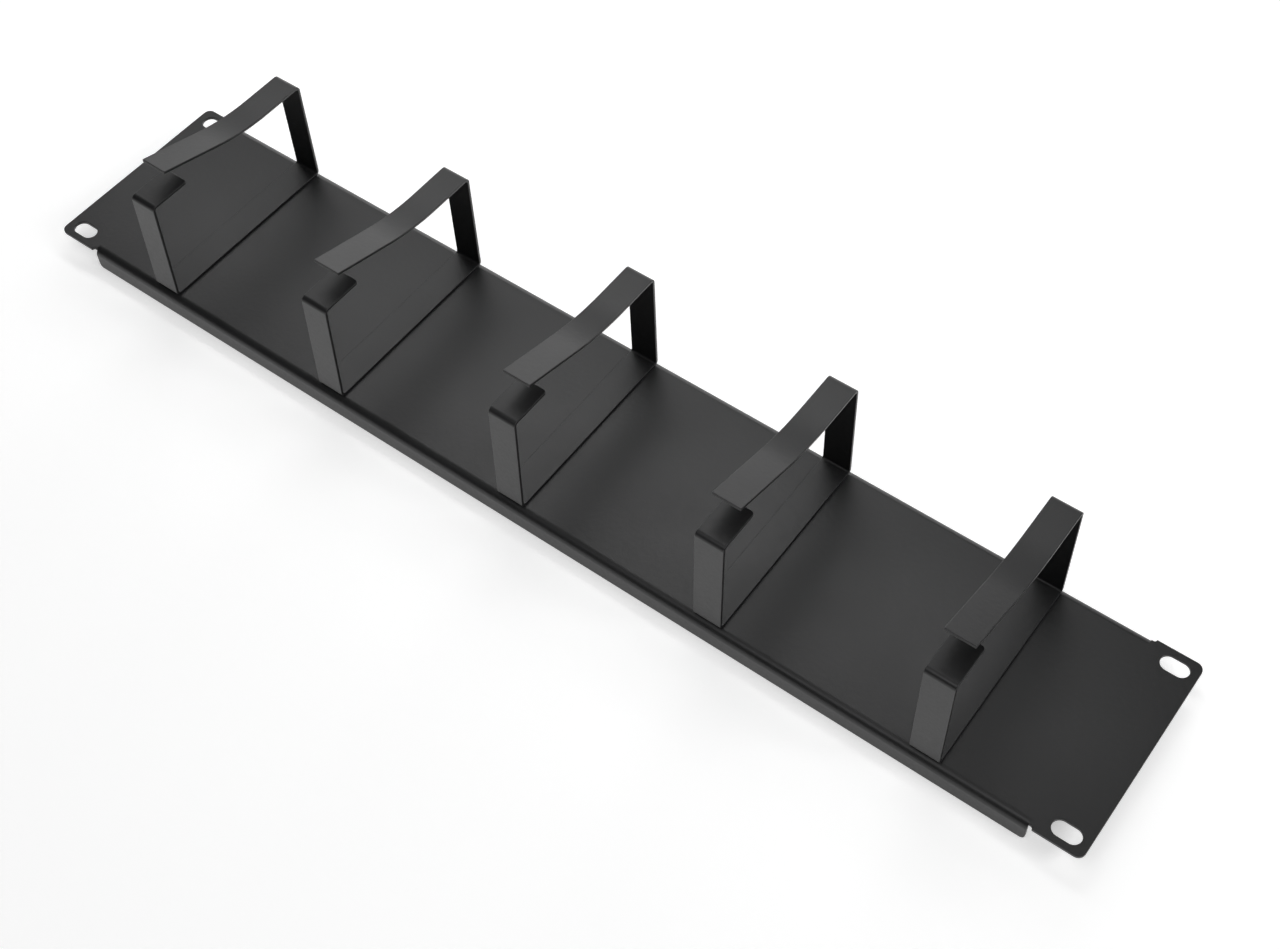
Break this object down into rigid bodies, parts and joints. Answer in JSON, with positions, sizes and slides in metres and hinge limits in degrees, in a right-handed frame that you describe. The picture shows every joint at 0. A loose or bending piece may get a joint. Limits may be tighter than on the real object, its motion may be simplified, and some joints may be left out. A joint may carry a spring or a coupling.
{
  "type": "rack cable management panel",
  "caption": "Folded sheet-steel rack panel with slotted ears and a row of open folded-strip cable rings on its front.",
  "frame": {"origin": "centre of the four mounting slots, on the rear face of the ears that meets the rack's rails", "axes": "+X along the panel's 482.6 mm width, +Y up the panel's height in the rack, +Z out of the panel's front, the way the rings stand"},
  "size_m": [0.4826, 0.0882, 0.0724],
  "materials": {
    "powder_coat": "satin black powder coat on sheet steel"
  },
  "bodies": {
    "root": {"panel": "powder_coat", "ring_1": "powder_coat", "ring_2": "powder_coat", "ring_3": "powder_coat", "ring_4": "powder_coat", "ring_5": "powder_coat"}
  },
  "joints": []
}
